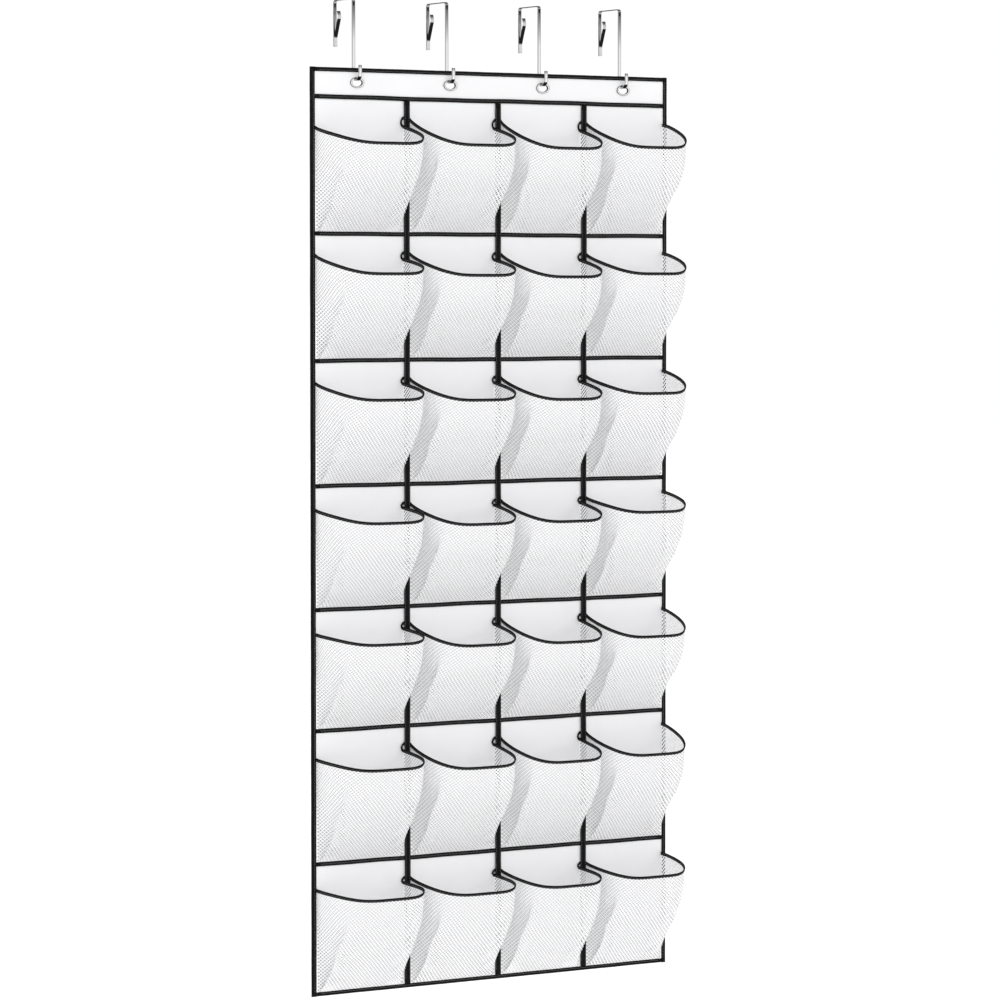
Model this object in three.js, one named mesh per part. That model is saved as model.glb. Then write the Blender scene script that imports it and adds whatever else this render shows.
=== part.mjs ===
// Over-the-door shoe organizer: a cloth panel with 28 mesh pockets that hangs on four strip hooks.
// Millimetres, +Z up, +X to the right seen from the front, pockets towards -Y.
// The origin is the middle of the door's top edge, where the hook bridges rest.

import * as THREE from 'three';

// ---- Driving dimensions ----------------------------------------------------------------------

const GAP = 0.3; // kept between neighbouring pieces

const DOOR_GAP = 53.5; // clear width of a hook over the door
const HOOK_WIDTH = 6;
const HOOK_THICKNESS = 1.5;
const HOOK_X = [-239, -76, 90, 238];
const LEG_BEND = 3; // centreline radius of the two bends beside the bridge
const EYE_BEND = 9.75; // centreline radius of the bend that carries the eyelet
const EYE_BEND_Z = -111.5; // height of that bend's centre
const RETURN_TIP_Z = -98.5; // top of the front return
const REAR_LEG_Z = -65; // where the rear leg starts to fold up
const TONGUE_BEND = 2.2;
const TONGUE_TOP = [13.6, -24]; // [y, z] of the spring tongue's nearest point to the door
const TONGUE_TIP = [16.4, -15.5];

const PANEL_WIDTH = 640;
const PANEL_TOP_Z = -102.5;
const HEADER_HEIGHT = 43.9; // panel top to the middle of the first cross tape
const ROW_HEIGHTS = [202.5, 188.8, 186.6, 184.3, 180.8, 200, 198.2];
const COLUMN_TAPE_X = [-154, 8, 164];
const SHEET_THICKNESS = 1.6;

const EDGE_TAPE_WIDTH = 8; // folded over the side edges
const END_TAPE_WIDTH = 6.6; // folded over the top and bottom edges
const TAPE_THICKNESS = 0.8;
const ROW_TAPE_WIDTH = 6.6;
const COLUMN_TAPE_WIDTH = 10;

const EYELET_RADIUS = 7.9; // half heights of an oval eyelet: rim, hole and barrel
const EYELET_HOLE = 5.4;
const EYELET_BARREL = 6;
const EYELET_STRETCH = 1.53; // how much wider than high it is
const EYELET_Z = -124.4;

const NET_THICKNESS = 1.2;
const MOUTH_BELOW_TAPE = 30; // where a pocket's mouth meets the panel, below its cross tape
const MOUTH_DEPTH = 78;
const LAST_MOUTH_SPREAD = 6; // the last column's free side leans out this far
const MOUTH_SAG = (row) => 38 - 2.8 * row; // the front of the mouth hangs lower than its ends
const MOUTH_SQUARENESS = 5.5; // exponent of the mouth's rounded plan outline
const TRIM_HEIGHT = 4.7;
const FOOT_DEPTH = 1.5; // depth left at the sewn foot of a pocket

// ---- Places worked out from them ----------------------------------------------------------------

const LEG_Y = (DOOR_GAP + HOOK_THICKNESS) / 2;
const PANEL_Y = -LEG_Y - EYE_BEND; // the panel hangs in the middle of the eyelet bend
const SHEET_FRONT_Y = PANEL_Y - SHEET_THICKNESS / 2;
const SEAM_Y = SHEET_FRONT_Y - GAP; // first layer in front of the sheet
const HALF_WIDTH = PANEL_WIDTH / 2;
const INNER_X = HALF_WIDTH - EDGE_TAPE_WIDTH;

const ROW_TAPE_Z = [PANEL_TOP_Z - HEADER_HEIGHT];
for (const height of ROW_HEIGHTS) ROW_TAPE_Z.push(ROW_TAPE_Z.at(-1) - height);
const PANEL_BOTTOM_Z = ROW_TAPE_Z.pop();

// ---- Materials ------------------------------------------------------------------------------------

const finish = (color, roughness, metalness) => () =>
  new THREE.MeshStandardMaterial({ color, roughness, metalness });
const cloth = finish(0xf4f4f7, 0.85, 0);
const net = finish(0xececf0, 0.8, 0);
const tape = finish(0x0c0c0e, 0.6, 0);
const chrome = finish(0xc9ccd1, 0.12, 1);

// ---- Shape helpers ----------------------------------------------------------------------------------

// A plate that stands in the XZ plane, its front face at y = front.
function plate(left, right, bottom, top, front, thickness, holes = []) {
  const outline = new THREE.Shape();
  outline.moveTo(left, bottom).lineTo(right, bottom).lineTo(right, top).lineTo(left, top);
  for (const [x, z, halfWidth, halfHeight] of holes) {
    outline.holes.push(new THREE.Path().absellipse(x, z, halfWidth, halfHeight, 0, 2 * Math.PI, true));
  }
  const options = { depth: thickness, bevelEnabled: false, curveSegments: 10 };
  const geometry = new THREE.ExtrudeGeometry(outline, options);
  geometry.rotateX(Math.PI / 2);
  return geometry.translate(0, front + thickness, 0);
}

// Tape folded over an edge: a channel whose web is on the edge, run along Z and then turned.
function foldedTape(length, width) {
  const outer = SHEET_THICKNESS / 2 + GAP + TAPE_THICKNESS;
  const inner = SHEET_THICKNESS / 2 + GAP;
  const section = new THREE.Shape();
  section.moveTo(0, -outer).lineTo(width, -outer).lineTo(width, -inner);
  section.lineTo(TAPE_THICKNESS, -inner).lineTo(TAPE_THICKNESS, inner);
  section.lineTo(width, inner).lineTo(width, outer).lineTo(0, outer);
  return new THREE.ExtrudeGeometry(section, { depth: length, bevelEnabled: false });
}

// A curved wall with thickness. outer[j][i] and inner[j][i] are matching points of its two faces.
function curvedWall(outer, inner) {
  const rows = outer.length;
  const count = outer[0].length;
  const positions = [...outer.flat(), ...inner.flat()].flatMap((p) => [p.x, p.y, p.z]);
  const at = (side, j, i) => (side * rows + j) * count + i;
  const index = [];
  const quad = (a, b, c, d) => index.push(a, b, c, a, c, d);
  for (let j = 0; j < rows - 1; j++) {
    for (let i = 0; i < count - 1; i++) {
      quad(at(0, j, i), at(0, j, i + 1), at(0, j + 1, i + 1), at(0, j + 1, i));
      quad(at(1, j, i), at(1, j + 1, i), at(1, j + 1, i + 1), at(1, j, i + 1));
    }
    quad(at(0, j, 0), at(0, j + 1, 0), at(1, j + 1, 0), at(1, j, 0));
    const end = count - 1;
    quad(at(0, j, end), at(1, j, end), at(1, j + 1, end), at(0, j + 1, end));
  }
  for (let i = 0; i < count - 1; i++) {
    const top = rows - 1;
    quad(at(0, 0, i), at(1, 0, i), at(1, 0, i + 1), at(0, 0, i + 1));
    quad(at(0, top, i), at(0, top, i + 1), at(1, top, i + 1), at(1, top, i));
  }
  const geometry = new THREE.BufferGeometry();
  geometry.setAttribute('position', new THREE.Float32BufferAttribute(positions, 3));
  geometry.setIndex(index);
  geometry.computeVertexNormals();
  return geometry;
}

// ---- Hooks: one bent strip each ---------------------------------------------------------------------

// The strip's centreline in side view, x standing for Y and y for Z, from front tip to rear tip.
function hookCentreline() {
  const bridge = HOOK_THICKNESS / 2;
  const lean = Math.atan2(TONGUE_TOP[1] - REAR_LEG_Z, TONGUE_TOP[0] - LEG_Y);
  const foldEnd = lean - Math.PI / 2;
  const foldY = LEG_Y - TONGUE_BEND;
  const line = new THREE.Path();
  line.moveTo(PANEL_Y - EYE_BEND, RETURN_TIP_Z);
  line.absarc(PANEL_Y, EYE_BEND_Z, EYE_BEND, Math.PI, 2 * Math.PI, false);
  line.absarc(-LEG_Y + LEG_BEND, bridge - LEG_BEND, LEG_BEND, Math.PI, Math.PI / 2, true);
  line.absarc(LEG_Y - LEG_BEND, bridge - LEG_BEND, LEG_BEND, Math.PI / 2, 0, true);
  line.absarc(foldY, REAR_LEG_Z, TONGUE_BEND, 0, foldEnd - Math.PI, true);
  line.lineTo(...TONGUE_TOP);
  line.lineTo(...TONGUE_TIP);
  return line.getPoints(8).filter((p, i, all) => i === 0 || p.distanceTo(all[i - 1]) > 0.01);
}

// Both sides of a line, offset by half the strip's thickness and mitred at each point.
function stripOutline(line, thickness) {
  const sides = [[], []];
  line.forEach((p, i) => {
    const before = line[Math.max(i - 1, 0)];
    const after = line[Math.min(i + 1, line.length - 1)];
    const arrive = (i > 0 ? p.clone().sub(before) : after.clone().sub(p)).normalize();
    const leave = (i < line.length - 1 ? after.clone().sub(p) : arrive.clone()).normalize();
    const along = arrive.clone().add(leave).normalize();
    const reach = thickness / 2 / Math.max(along.dot(leave), 0.5);
    const normal = new THREE.Vector2(-along.y, along.x).multiplyScalar(reach);
    sides[0].push(p.clone().add(normal));
    sides[1].push(p.clone().sub(normal));
  });
  return new THREE.Shape([...sides[1], ...sides[0].reverse()]);
}

function hook() {
  const outline = stripOutline(hookCentreline(), HOOK_THICKNESS);
  const options = { depth: HOOK_WIDTH, bevelEnabled: false };
  const geometry = new THREE.ExtrudeGeometry(outline, options);
  geometry.translate(0, 0, -HOOK_WIDTH / 2);
  const [x, y, z] = [0, 1, 2].map((axis) => new THREE.Vector3().setComponent(axis, 1));
  return geometry.applyMatrix4(new THREE.Matrix4().makeBasis(y, z, x));
}

// ---- Eyelets: an oval rolled ring through the header -------------------------------------------------

function eyelet() {
  const face = SHEET_THICKNESS / 2 + GAP;
  const side = [
    [EYELET_BARREL, face],
    [EYELET_RADIUS, face],
    [EYELET_RADIUS - 0.6, face + 0.8],
    [EYELET_HOLE + 0.9, face + 1],
    [EYELET_HOLE, face + 0.4],
  ];
  const mirrored = side.map(([radius, y]) => [radius, -y]).reverse();
  const profile = [...mirrored, ...side, mirrored[0]];
  const ring = new THREE.LatheGeometry(profile.map(([radius, y]) => new THREE.Vector2(radius, y)), 20);
  return ring.scale(EYELET_STRETCH, 1, 1);
}

// ---- Pockets and the trim on their mouths ------------------------------------------------------------

const MOUTH_ANGLES = [0, 3, 12, 28, 45, 62, 78, 90, 102, 118, 135, 152, 168, 177, 180].map(
  THREE.MathUtils.degToRad
);
const WALL_LEVELS = [0, 0.35, 0.7, 1];

// Left and right limits of a column's pocket at the panel.
function columnSpan(column) {
  const half = COLUMN_TAPE_WIDTH / 2 + GAP;
  const left = column === 0 ? -INNER_X + GAP : COLUMN_TAPE_X[column - 1] + half;
  const right = column === 3 ? INNER_X - GAP : COLUMN_TAPE_X[column] - half;
  return [left, right];
}

// A point of the pocket: angle runs round the mouth, level from the foot (0) to the mouth (1),
// inset is the distance from the outer face, and lift raises the point above the net's own edge.
function pocketPoint(row, column, angle, level, inset, lift = 0) {
  const [left, right] = columnSpan(column);
  const power = 2 / MOUTH_SQUARENESS;
  const across = -Math.sign(Math.cos(angle)) * Math.abs(Math.cos(angle)) ** power;
  const out = Math.sin(angle) < 1e-9 ? 0 : Math.sin(angle) ** power;
  const lean = column === 3 && across > 0 ? LAST_MOUTH_SPREAD * level * out : 0;
  const depth = FOOT_DEPTH + (MOUTH_DEPTH - FOOT_DEPTH) * level - inset;
  const mouthZ = ROW_TAPE_Z[row] - MOUTH_BELOW_TAPE;
  const top = mouthZ - MOUTH_SAG(row) * Math.sin(angle) ** 1.3;
  const lastRow = row === ROW_TAPE_Z.length - 1;
  const below = lastRow ? PANEL_BOTTOM_Z + END_TAPE_WIDTH : ROW_TAPE_Z[row + 1] + ROW_TAPE_WIDTH / 2;
  const foot = below + GAP;
  const x = (left + right) / 2 + across * ((right - left) / 2 - inset) + lean;
  const y = SEAM_Y - out * depth;
  return new THREE.Vector3(x, y, foot + (top - foot) * level + lift);
}

function pocket(row, column) {
  const face = (inset) =>
    WALL_LEVELS.map((level) =>
      MOUTH_ANGLES.map((angle) => pocketPoint(row, column, angle, level, inset))
    );
  return curvedWall(face(0), face(NET_THICKNESS));
}

// One tape sewn along the mouths of a whole row; between pockets it runs flat behind the column tape.
function mouthTrim(row) {
  const face = (inset, bottomLift) =>
    [0, 1, 2, 3].flatMap((column) =>
      MOUTH_ANGLES.map((angle) => {
        const point = pocketPoint(row, column, angle, 1, inset, bottomLift);
        const shut = column > 0 && angle === 0;
        const turn = shut || (column < 3 && angle === Math.PI);
        if (turn) point.y = inset === 0 ? SEAM_Y - NET_THICKNESS : SEAM_Y;
        return point;
      })
    );
  const bottom = GAP;
  const top = GAP + TRIM_HEIGHT;
  return curvedWall([face(0, bottom), face(0, top)], [
    face(NET_THICKNESS, bottom),
    face(NET_THICKNESS, top),
  ]);
}

// ---- Assembly ----------------------------------------------------------------------------------------

const organizer = new THREE.Group();

function add(name, geometry, material, x = 0, y = 0, z = 0) {
  const mesh = new THREE.Mesh(geometry, material());
  mesh.name = name;
  mesh.position.set(x, y, z);
  organizer.add(mesh);
  return mesh;
}

// Hooks and eyelets
HOOK_X.forEach((x, i) => {
  add(`hook_${i + 1}`, hook(), chrome, x, 0, 0);
  add(`eyelet_${i + 1}`, eyelet(), chrome, x, PANEL_Y, EYELET_Z);
});

// Sheets, with their edges inside the folded tapes
const tuck = TAPE_THICKNESS + GAP;
const sheetX = HALF_WIDTH - tuck;
const seamZ = ROW_TAPE_Z[0];
const holeHalfHeight = EYELET_BARREL + GAP;
const holeHalfWidth = EYELET_BARREL * EYELET_STRETCH + GAP;
const eyeletHoles = HOOK_X.map((x) => [x, EYELET_Z, holeHalfWidth, holeHalfHeight]);
add(
  'header_panel',
  plate(
    -sheetX, sheetX, seamZ + GAP / 2, PANEL_TOP_Z - tuck, SHEET_FRONT_Y, SHEET_THICKNESS, eyeletHoles
  ),
  cloth
);
add(
  'back_panel',
  plate(-sheetX, sheetX, PANEL_BOTTOM_Z + tuck, seamZ - GAP / 2, SHEET_FRONT_Y, SHEET_THICKNESS),
  cloth
);

// Folded tapes on the four edges
const sideLength = PANEL_TOP_Z - PANEL_BOTTOM_Z;
const endLength = 2 * (INNER_X - GAP);
add('binding_left', foldedTape(sideLength, EDGE_TAPE_WIDTH), tape, -HALF_WIDTH, PANEL_Y, PANEL_BOTTOM_Z);
const right = foldedTape(sideLength, EDGE_TAPE_WIDTH).rotateZ(Math.PI);
add('binding_right', right, tape, HALF_WIDTH, PANEL_Y, PANEL_BOTTOM_Z);
const bottom = foldedTape(endLength, END_TAPE_WIDTH).translate(0, 0, -endLength / 2);
bottom.rotateY(-Math.PI / 2);
add('binding_bottom', bottom, tape, 0, PANEL_Y, PANEL_BOTTOM_Z);
const top = foldedTape(endLength, END_TAPE_WIDTH).translate(0, 0, -endLength / 2);
top.rotateY(Math.PI / 2);
add('binding_top', top, tape, 0, PANEL_Y, PANEL_TOP_Z);

// Cross tapes, then column tapes one layer further out
const rowTapeX = INNER_X - GAP;
ROW_TAPE_Z.forEach((z, i) => {
  const half = ROW_TAPE_WIDTH / 2;
  const front = SEAM_Y - TAPE_THICKNESS;
  const strip = plate(-rowTapeX, rowTapeX, z - half, z + half, front, TAPE_THICKNESS);
  add(`row_tape_${i + 1}`, strip, tape);
});
COLUMN_TAPE_X.forEach((x, i) => {
  const half = COLUMN_TAPE_WIDTH / 2;
  const front = SEAM_Y - NET_THICKNESS - GAP - TAPE_THICKNESS;
  const low = PANEL_BOTTOM_Z + END_TAPE_WIDTH + GAP;
  const high = seamZ - ROW_TAPE_WIDTH / 2;
  const strip = plate(x - half, x + half, low, high, front, TAPE_THICKNESS);
  add(`column_tape_${i + 1}`, strip, tape);
});

// Pockets and mouth trims
ROW_TAPE_Z.forEach((z, row) => {
  add(`mouth_trim_${row + 1}`, mouthTrim(row), tape);
  for (let column = 0; column < COLUMN_TAPE_X.length + 1; column++) {
    add(`pocket_r${row + 1}_c${column + 1}`, pocket(row, column), net);
  }
});

export default organizer;
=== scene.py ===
import math

import bpy
import numpy as np
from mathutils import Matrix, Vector


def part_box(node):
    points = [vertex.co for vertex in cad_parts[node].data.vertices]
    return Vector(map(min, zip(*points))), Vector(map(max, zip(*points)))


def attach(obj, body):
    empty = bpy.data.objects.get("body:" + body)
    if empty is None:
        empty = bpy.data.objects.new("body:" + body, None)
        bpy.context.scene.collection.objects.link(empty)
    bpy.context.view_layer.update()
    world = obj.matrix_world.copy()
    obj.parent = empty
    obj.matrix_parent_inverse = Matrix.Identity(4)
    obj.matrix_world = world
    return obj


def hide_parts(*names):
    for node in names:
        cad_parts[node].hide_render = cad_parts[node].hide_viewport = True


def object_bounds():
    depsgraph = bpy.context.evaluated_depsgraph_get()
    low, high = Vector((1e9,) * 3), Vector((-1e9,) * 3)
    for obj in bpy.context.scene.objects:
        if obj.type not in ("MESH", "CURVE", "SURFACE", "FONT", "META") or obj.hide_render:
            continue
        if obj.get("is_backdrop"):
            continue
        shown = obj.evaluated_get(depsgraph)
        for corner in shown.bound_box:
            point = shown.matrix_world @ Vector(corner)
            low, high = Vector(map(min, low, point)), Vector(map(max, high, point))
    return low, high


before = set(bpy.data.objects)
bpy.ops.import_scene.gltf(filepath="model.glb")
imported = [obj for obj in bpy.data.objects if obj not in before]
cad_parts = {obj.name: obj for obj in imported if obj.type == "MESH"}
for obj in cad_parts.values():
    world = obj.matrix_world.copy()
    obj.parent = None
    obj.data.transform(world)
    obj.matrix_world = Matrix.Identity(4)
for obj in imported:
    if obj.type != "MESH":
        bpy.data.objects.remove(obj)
cad_low, cad_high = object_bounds()
scene = bpy.context.scene

# ---- Camera -------------------------------------------------------------------------------------
# A long lens seen from the left of the panel and a little above its middle, so that every row shows
# the inside of its pockets and the gap between the two legs of each hook.
VIEW_TURN, VIEW_RISE, VIEW_DISTANCE = math.radians(-32.3), math.radians(2.74), 6.625
AIM_FROM_MIDDLE = Vector((0.0123, 0.0056, -0.0097))

aim = (cad_low + cad_high) / 2 + AIM_FROM_MIDDLE
towards_camera = Vector((
    math.sin(VIEW_TURN) * math.cos(VIEW_RISE),
    -math.cos(VIEW_TURN) * math.cos(VIEW_RISE),
    math.sin(VIEW_RISE),
))
lens = bpy.data.cameras.new("long_lens")
lens.lens, lens.sensor_width, lens.clip_end = 156.28, 36, 100
camera = bpy.data.objects.new("camera", lens)
camera.location = aim + VIEW_DISTANCE * towards_camera
camera.rotation_euler = (-towards_camera).to_track_quat("-Z", "Y").to_euler()
scene.collection.objects.link(camera)
scene.camera = camera

# ---- Studio -------------------------------------------------------------------------------------
# A pale floor as far below as under a real door, a white room, and one wide soft lamp from the upper
# left. Polished metal sees a darker ceiling, which adds to the dark bends painted into the chrome strips'
# colour as painted reflection.
DOOR_HEIGHT, FLOOR_SIDE = 2.03, 60
ROOM_LIGHT, LAMP_WATTS, LAMP_SIDE = 0.95, 30, 3.2
LAMP_PLACE = Vector((-2.6, -3.4, 1.9))


class Sock:
    """An output of a node. Arithmetic on it adds Math nodes, and node() adds any other kind."""

    def __init__(self, tree, out=None):
        self.tree, self.out = tree, out

    def node(self, kind, settings=(), inputs=(), output=0):
        """A new node: its settings first, then the values or links of its inputs."""
        made = self.tree.nodes.new(kind)
        for name, value in dict(settings).items():
            setattr(made, name, value)
        for name, value in dict(inputs).items():
            if isinstance(value, Sock):
                self.tree.links.new(value.out, made.inputs[name])
            else:
                made.inputs[name].default_value = value
        return Sock(self.tree, made.outputs[output] if len(made.outputs) else None)

    def math(self, operation, first, second=0.0):
        return self.node("ShaderNodeMath", {"operation": operation}, {0: first, 1: second})

    def __add__(self, other):
        return self.math("ADD", self, other)

    def __sub__(self, other):
        return self.math("SUBTRACT", self, other)

    def __rsub__(self, other):
        return self.math("SUBTRACT", other, self)

    def __mul__(self, other):
        return self.math("MULTIPLY", self, other)

    __radd__, __rmul__ = __add__, __mul__

    def sine(self):
        return self.math("SINE", self)

    def size(self):
        return self.math("ABSOLUTE", self)

    def ramp(self, low, high):
        """0 below low and 1 above high, with a smooth step between them."""
        settings = {"interpolation_type": "SMOOTHSTEP", "clamp": True}
        return self.node("ShaderNodeMapRange", settings, {"Value": self, 1: low, 2: high})

    def blend(self, first, second):
        """A colour that goes from first to second as this value goes from 0 to 1."""
        inputs = {"Factor": self, 6: first, 7: second}
        return self.node("ShaderNodeMix", {"data_type": "RGBA"}, inputs, 2)

    def tones(self, stops):
        """A grey colour that follows (value, grey) stops."""
        first, last = stops[0][0], stops[-1][0]
        share = self.node("ShaderNodeMapRange", {"clamp": True}, {"Value": self, 1: first, 2: last})
        made = self.tree.nodes.new("ShaderNodeValToRGB")
        made.color_ramp.elements.remove(made.color_ramp.elements[1])
        for k, (value, tone) in enumerate(stops):
            at = (value - first) / (last - first)
            stop = made.color_ramp.elements[0] if k == 0 else made.color_ramp.elements.new(at)
            stop.position, stop.color = at, grey(tone)
        self.tree.links.new(share.out, made.inputs[0])
        return Sock(self.tree, made.outputs[0])

    def axis(self, name):
        return self.node("ShaderNodeSeparateXYZ", {}, {0: self}, name)

    def grain(self, grains_per_metre, detail=2.0, roughness=0.5):
        inputs = {"Vector": self, "Scale": grains_per_metre, "Detail": detail, "Roughness": roughness}
        return self.node("ShaderNodeTexNoise", {}, inputs, "Fac")

    def relief(self, depth, strength=1.0):
        """A surface normal bumped by this height, whose full swing is depth metres."""
        inputs = {"Height": self, "Distance": depth, "Strength": strength}
        return self.node("ShaderNodeBump", {}, inputs, "Normal")


def new_finish(name):
    """An empty material and a start for its nodes."""
    material = bpy.data.materials.new(name)
    material.use_nodes = True
    material.node_tree.nodes.clear()
    return material, Sock(material.node_tree)


def surface(start, **inputs):
    """Ends a material with one Principled shader. An input's name has _ in place of a space."""
    named = {name.replace("_", " "): value for name, value in inputs.items()}
    shader = start.node("ShaderNodeBsdfPrincipled", {}, named)
    start.node("ShaderNodeOutputMaterial", {}, {"Surface": shader})


def grey(value, blue=0.0):
    return (value, value, value * (1 + blue), 1)


def mesh_object(name, points, faces, material, smooth=True):
    """A new object whose place is in its mesh."""
    mesh = bpy.data.meshes.new(name)
    mesh.from_pydata([tuple(p) for p in points], [], faces)
    mesh.materials.append(material)
    mesh.polygons.foreach_set("use_smooth", [smooth] * len(mesh.polygons))
    made = bpy.data.objects.new(name, mesh)
    scene.collection.objects.link(made)
    return made


floor_paint, start = new_finish("pale floor")
mottle = start.node("ShaderNodeTexCoord", output="Object").grain(0.8)
surface(
    start,
    Base_Color=mottle.blend(grey(0.55), grey(0.58)),
    Roughness=0.9,
    Emission_Color=grey(1),
    Emission_Strength=0.6,
)
half = FLOOR_SIDE / 2
corners = [(x, y, -DOOR_HEIGHT) for x, y in ((-half, -half), (half, -half), (half, half), (-half, half))]
floor = mesh_object("floor", corners, [(0, 1, 2, 3)], floor_paint)
floor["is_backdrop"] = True

room = bpy.data.worlds.new("white room")
room.use_nodes = True
room.node_tree.nodes.clear()
scene.world = room
start = Sock(room.node_tree)
height = start.node("ShaderNodeTexCoord", output="Generated").axis("Z")
ceiling = height.ramp(0.25, 0.8).blend(grey(1), grey(0.4))
plain = start.node("ShaderNodeBackground", {}, {"Color": grey(1), "Strength": ROOM_LIGHT})
mirrored = start.node("ShaderNodeBackground", {}, {"Color": ceiling, "Strength": 1})
seen = start.node("ShaderNodeBackground", {}, {"Color": grey(1), "Strength": 1.02})
glossy = start.node("ShaderNodeLightPath", output="Is Glossy Ray")
straight = start.node("ShaderNodeLightPath", output="Is Camera Ray")
indoors = start.node("ShaderNodeMixShader", {}, {0: glossy, 1: plain, 2: mirrored})
everything = start.node("ShaderNodeMixShader", {}, {0: straight, 1: indoors, 2: seen})
start.node("ShaderNodeOutputWorld", {}, {"Surface": everything})

lamp = bpy.data.lights.new("soft_lamp", "AREA")
lamp.shape, lamp.size, lamp.energy = "SQUARE", LAMP_SIDE, LAMP_WATTS
lamp_stand = bpy.data.objects.new("soft_lamp", lamp)
lamp_stand.location = LAMP_PLACE
lamp_stand.rotation_euler = (LAMP_PLACE - aim).to_track_quat("Z", "Y").to_euler()
scene.collection.objects.link(lamp_stand)
scene.view_settings.view_transform = "Standard"

# ---- Back cloth ---------------------------------------------------------------------------------
# One sheet of white non-woven polypropylene, cut 638 mm wide and point-bonded, which gives it tiny
# embossed diamonds. It hangs slack between the tapes sewn across it, and each pocket pulls a crease.
MM = 0.001
CLOTH_STEP_X, CLOTH_STEP_Z = 8 * MM, 6 * MM
SLACK, CREASE = 1.6 * MM, 3.2 * MM
BOND_PITCH = 1.7 * MM

cloth_finish, start = new_finish("non-woven cloth")
place = start.node("ShaderNodeTexCoord", output="Object")
turns = 2 * math.pi / BOND_PITCH
rising = ((place.axis("X") + place.axis("Z")) * turns).sine()
falling = ((place.axis("X") - place.axis("Z")) * turns).sine()
bonds = rising * falling
fibres = place.grain(900, 3.0, 0.6)
cloudy = place.grain(22, 3.0)
pressed = bonds.ramp(0.3, 0.8)
tone = cloudy * 0.5 + fibres * 0.3 + pressed * 0.2
surface(
    start,
    Base_Color=tone.blend(grey(0.9, 0.012), grey(0.95, 0.012)),
    Roughness=0.86 - pressed * 0.12,
    Sheen_Weight=0.15,
    Specular_IOR_Level=0.3,
    Normal=(fibres * 0.4 - pressed * 0.6).relief(0.12 * MM, 0.6),
)


def middle(box):
    return (box[0] + box[1]) / 2


cross_lines = [middle(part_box(f"row_tape_{row + 1}")).z for row in range(7)]
foot_lines = [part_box(f"row_tape_{row + 1}")[1].z for row in range(1, 7)] + [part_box("binding_bottom")[1].z]
divider_lines = [middle(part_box(f"column_tape_{column + 1}")).x for column in range(3)]
side_edges = [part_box("binding_left")[1].x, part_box("binding_right")[0].x]


def slack(x, z):
    """How far the back cloth stands forward of flat, and the crease under each pocket's right end."""
    columns = np.array([side_edges[0], *divider_lines, side_edges[1]])
    rows = np.array([*cross_lines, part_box("binding_bottom")[1].z])
    column = np.clip(np.searchsorted(columns, x) - 1, 0, 3)
    row = np.clip(np.searchsorted(-rows, -z) - 1, 0, 6)
    left, right = columns[column], columns[column + 1]
    top, bottom = rows[row], rows[row + 1]
    across, down = (x - left) / (right - left), (top - z) / (top - bottom)
    inside = (across > 0) & (across < 1) & (down > 0) & (down < 1)
    rim = np.sin(math.pi * np.clip(across, 0, 1)) ** 0.5 * np.sin(math.pi * np.clip(down, 0, 1)) ** 0.6
    fall = 0.30 + 0.12 * np.sin(5.1 * row + 2.3 * column)
    line = top - 0.2 * (top - bottom) - fall * (right - x)
    above = z - line
    ridge = np.where(above > 0, np.exp(-above / (24 * MM)), np.exp(above / (9 * MM)))
    wave = 0.5 + 0.5 * np.sin(37 * x + 3 * row) * np.sin(29 * z + 2 * column)
    return np.where(inside, rim * (SLACK * wave + CREASE * ridge * (0.35 + 0.65 * across)), 0)


def cloth_shell(name, xs, zs, box, lift):
    """A thin closed sheet over a grid, as thick as the CAD sheet allows, pushed forward by lift(x, z)."""
    x, z = np.meshgrid(xs, zs)
    front = np.stack([x, box[0].y + 0.3 * MM - lift(x, z), z], -1).reshape(-1, 3)
    back = np.stack([x, box[1].y - 0.3 * MM - lift(x, z), z], -1).reshape(-1, 3)
    wide, high = len(xs), len(zs)
    at = np.arange(wide * high).reshape(high, wide)
    quads = np.stack([at[:-1, :-1], at[:-1, 1:], at[1:, 1:], at[1:, :-1]], -1).reshape(-1, 4)
    rim = np.concatenate([at[0], at[1:, -1], at[-1, -2::-1], at[-2:0:-1, 0]])
    after, behind = np.roll(rim, -1), wide * high
    walls = np.stack([rim, rim + behind, after + behind, after], -1)
    faces = [*quads.tolist(), *(quads[:, ::-1] + behind).tolist(), *walls.tolist()]
    return mesh_object(name, np.concatenate([front, back]), faces, cloth_finish)


def steps(low, high, pitch):
    return np.linspace(low, high, max(2, round((high - low) / pitch) + 1))


back_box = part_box("back_panel")
back_cloth = cloth_shell(
    "back_cloth",
    steps(back_box[0].x, back_box[1].x, CLOTH_STEP_X),
    steps(back_box[0].z, back_box[1].z, CLOTH_STEP_Z),
    back_box,
    slack,
)
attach(back_cloth, "panel")
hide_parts("back_panel")

# ---- Header cloth -------------------------------------------------------------------------------
# The top band is the same cloth folded double, so it stands stiff and nearly flat. Four oval holes
# are punched through it, and each eyelet draws the cloth in a little round itself.
HEADER_STEP = 3 * MM
PUCKER = 0.35 * MM

header_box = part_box("header_panel")
eyelet_boxes = [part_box(f"eyelet_{i + 1}") for i in range(4)]


def header_lift(x, z):
    """Shallow waves along the band, and a slight hollow round each eyelet."""
    lift = 0.25 * MM * np.sin(19 * x + 1) * np.sin(90 * z)
    for box in eyelet_boxes:
        centre = middle(box)
        away = np.hypot((x - centre.x) / 1.4, z - centre.z)
        lift = lift - PUCKER * np.exp(-((away / (13 * MM)) ** 2))
    return lift


header_cloth = cloth_shell(
    "header_cloth",
    steps(header_box[0].x, header_box[1].x, HEADER_STEP),
    steps(header_box[0].z, header_box[1].z, HEADER_STEP),
    header_box,
    header_lift,
)


def as_mesh(made):
    """The object with its modifiers turned into plain mesh."""
    graph = bpy.context.evaluated_depsgraph_get()
    mesh = bpy.data.meshes.new_from_object(made.evaluated_get(graph), depsgraph=graph)
    mesh.name = made.name
    made.modifiers.clear()
    made.data = mesh
    return made


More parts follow.
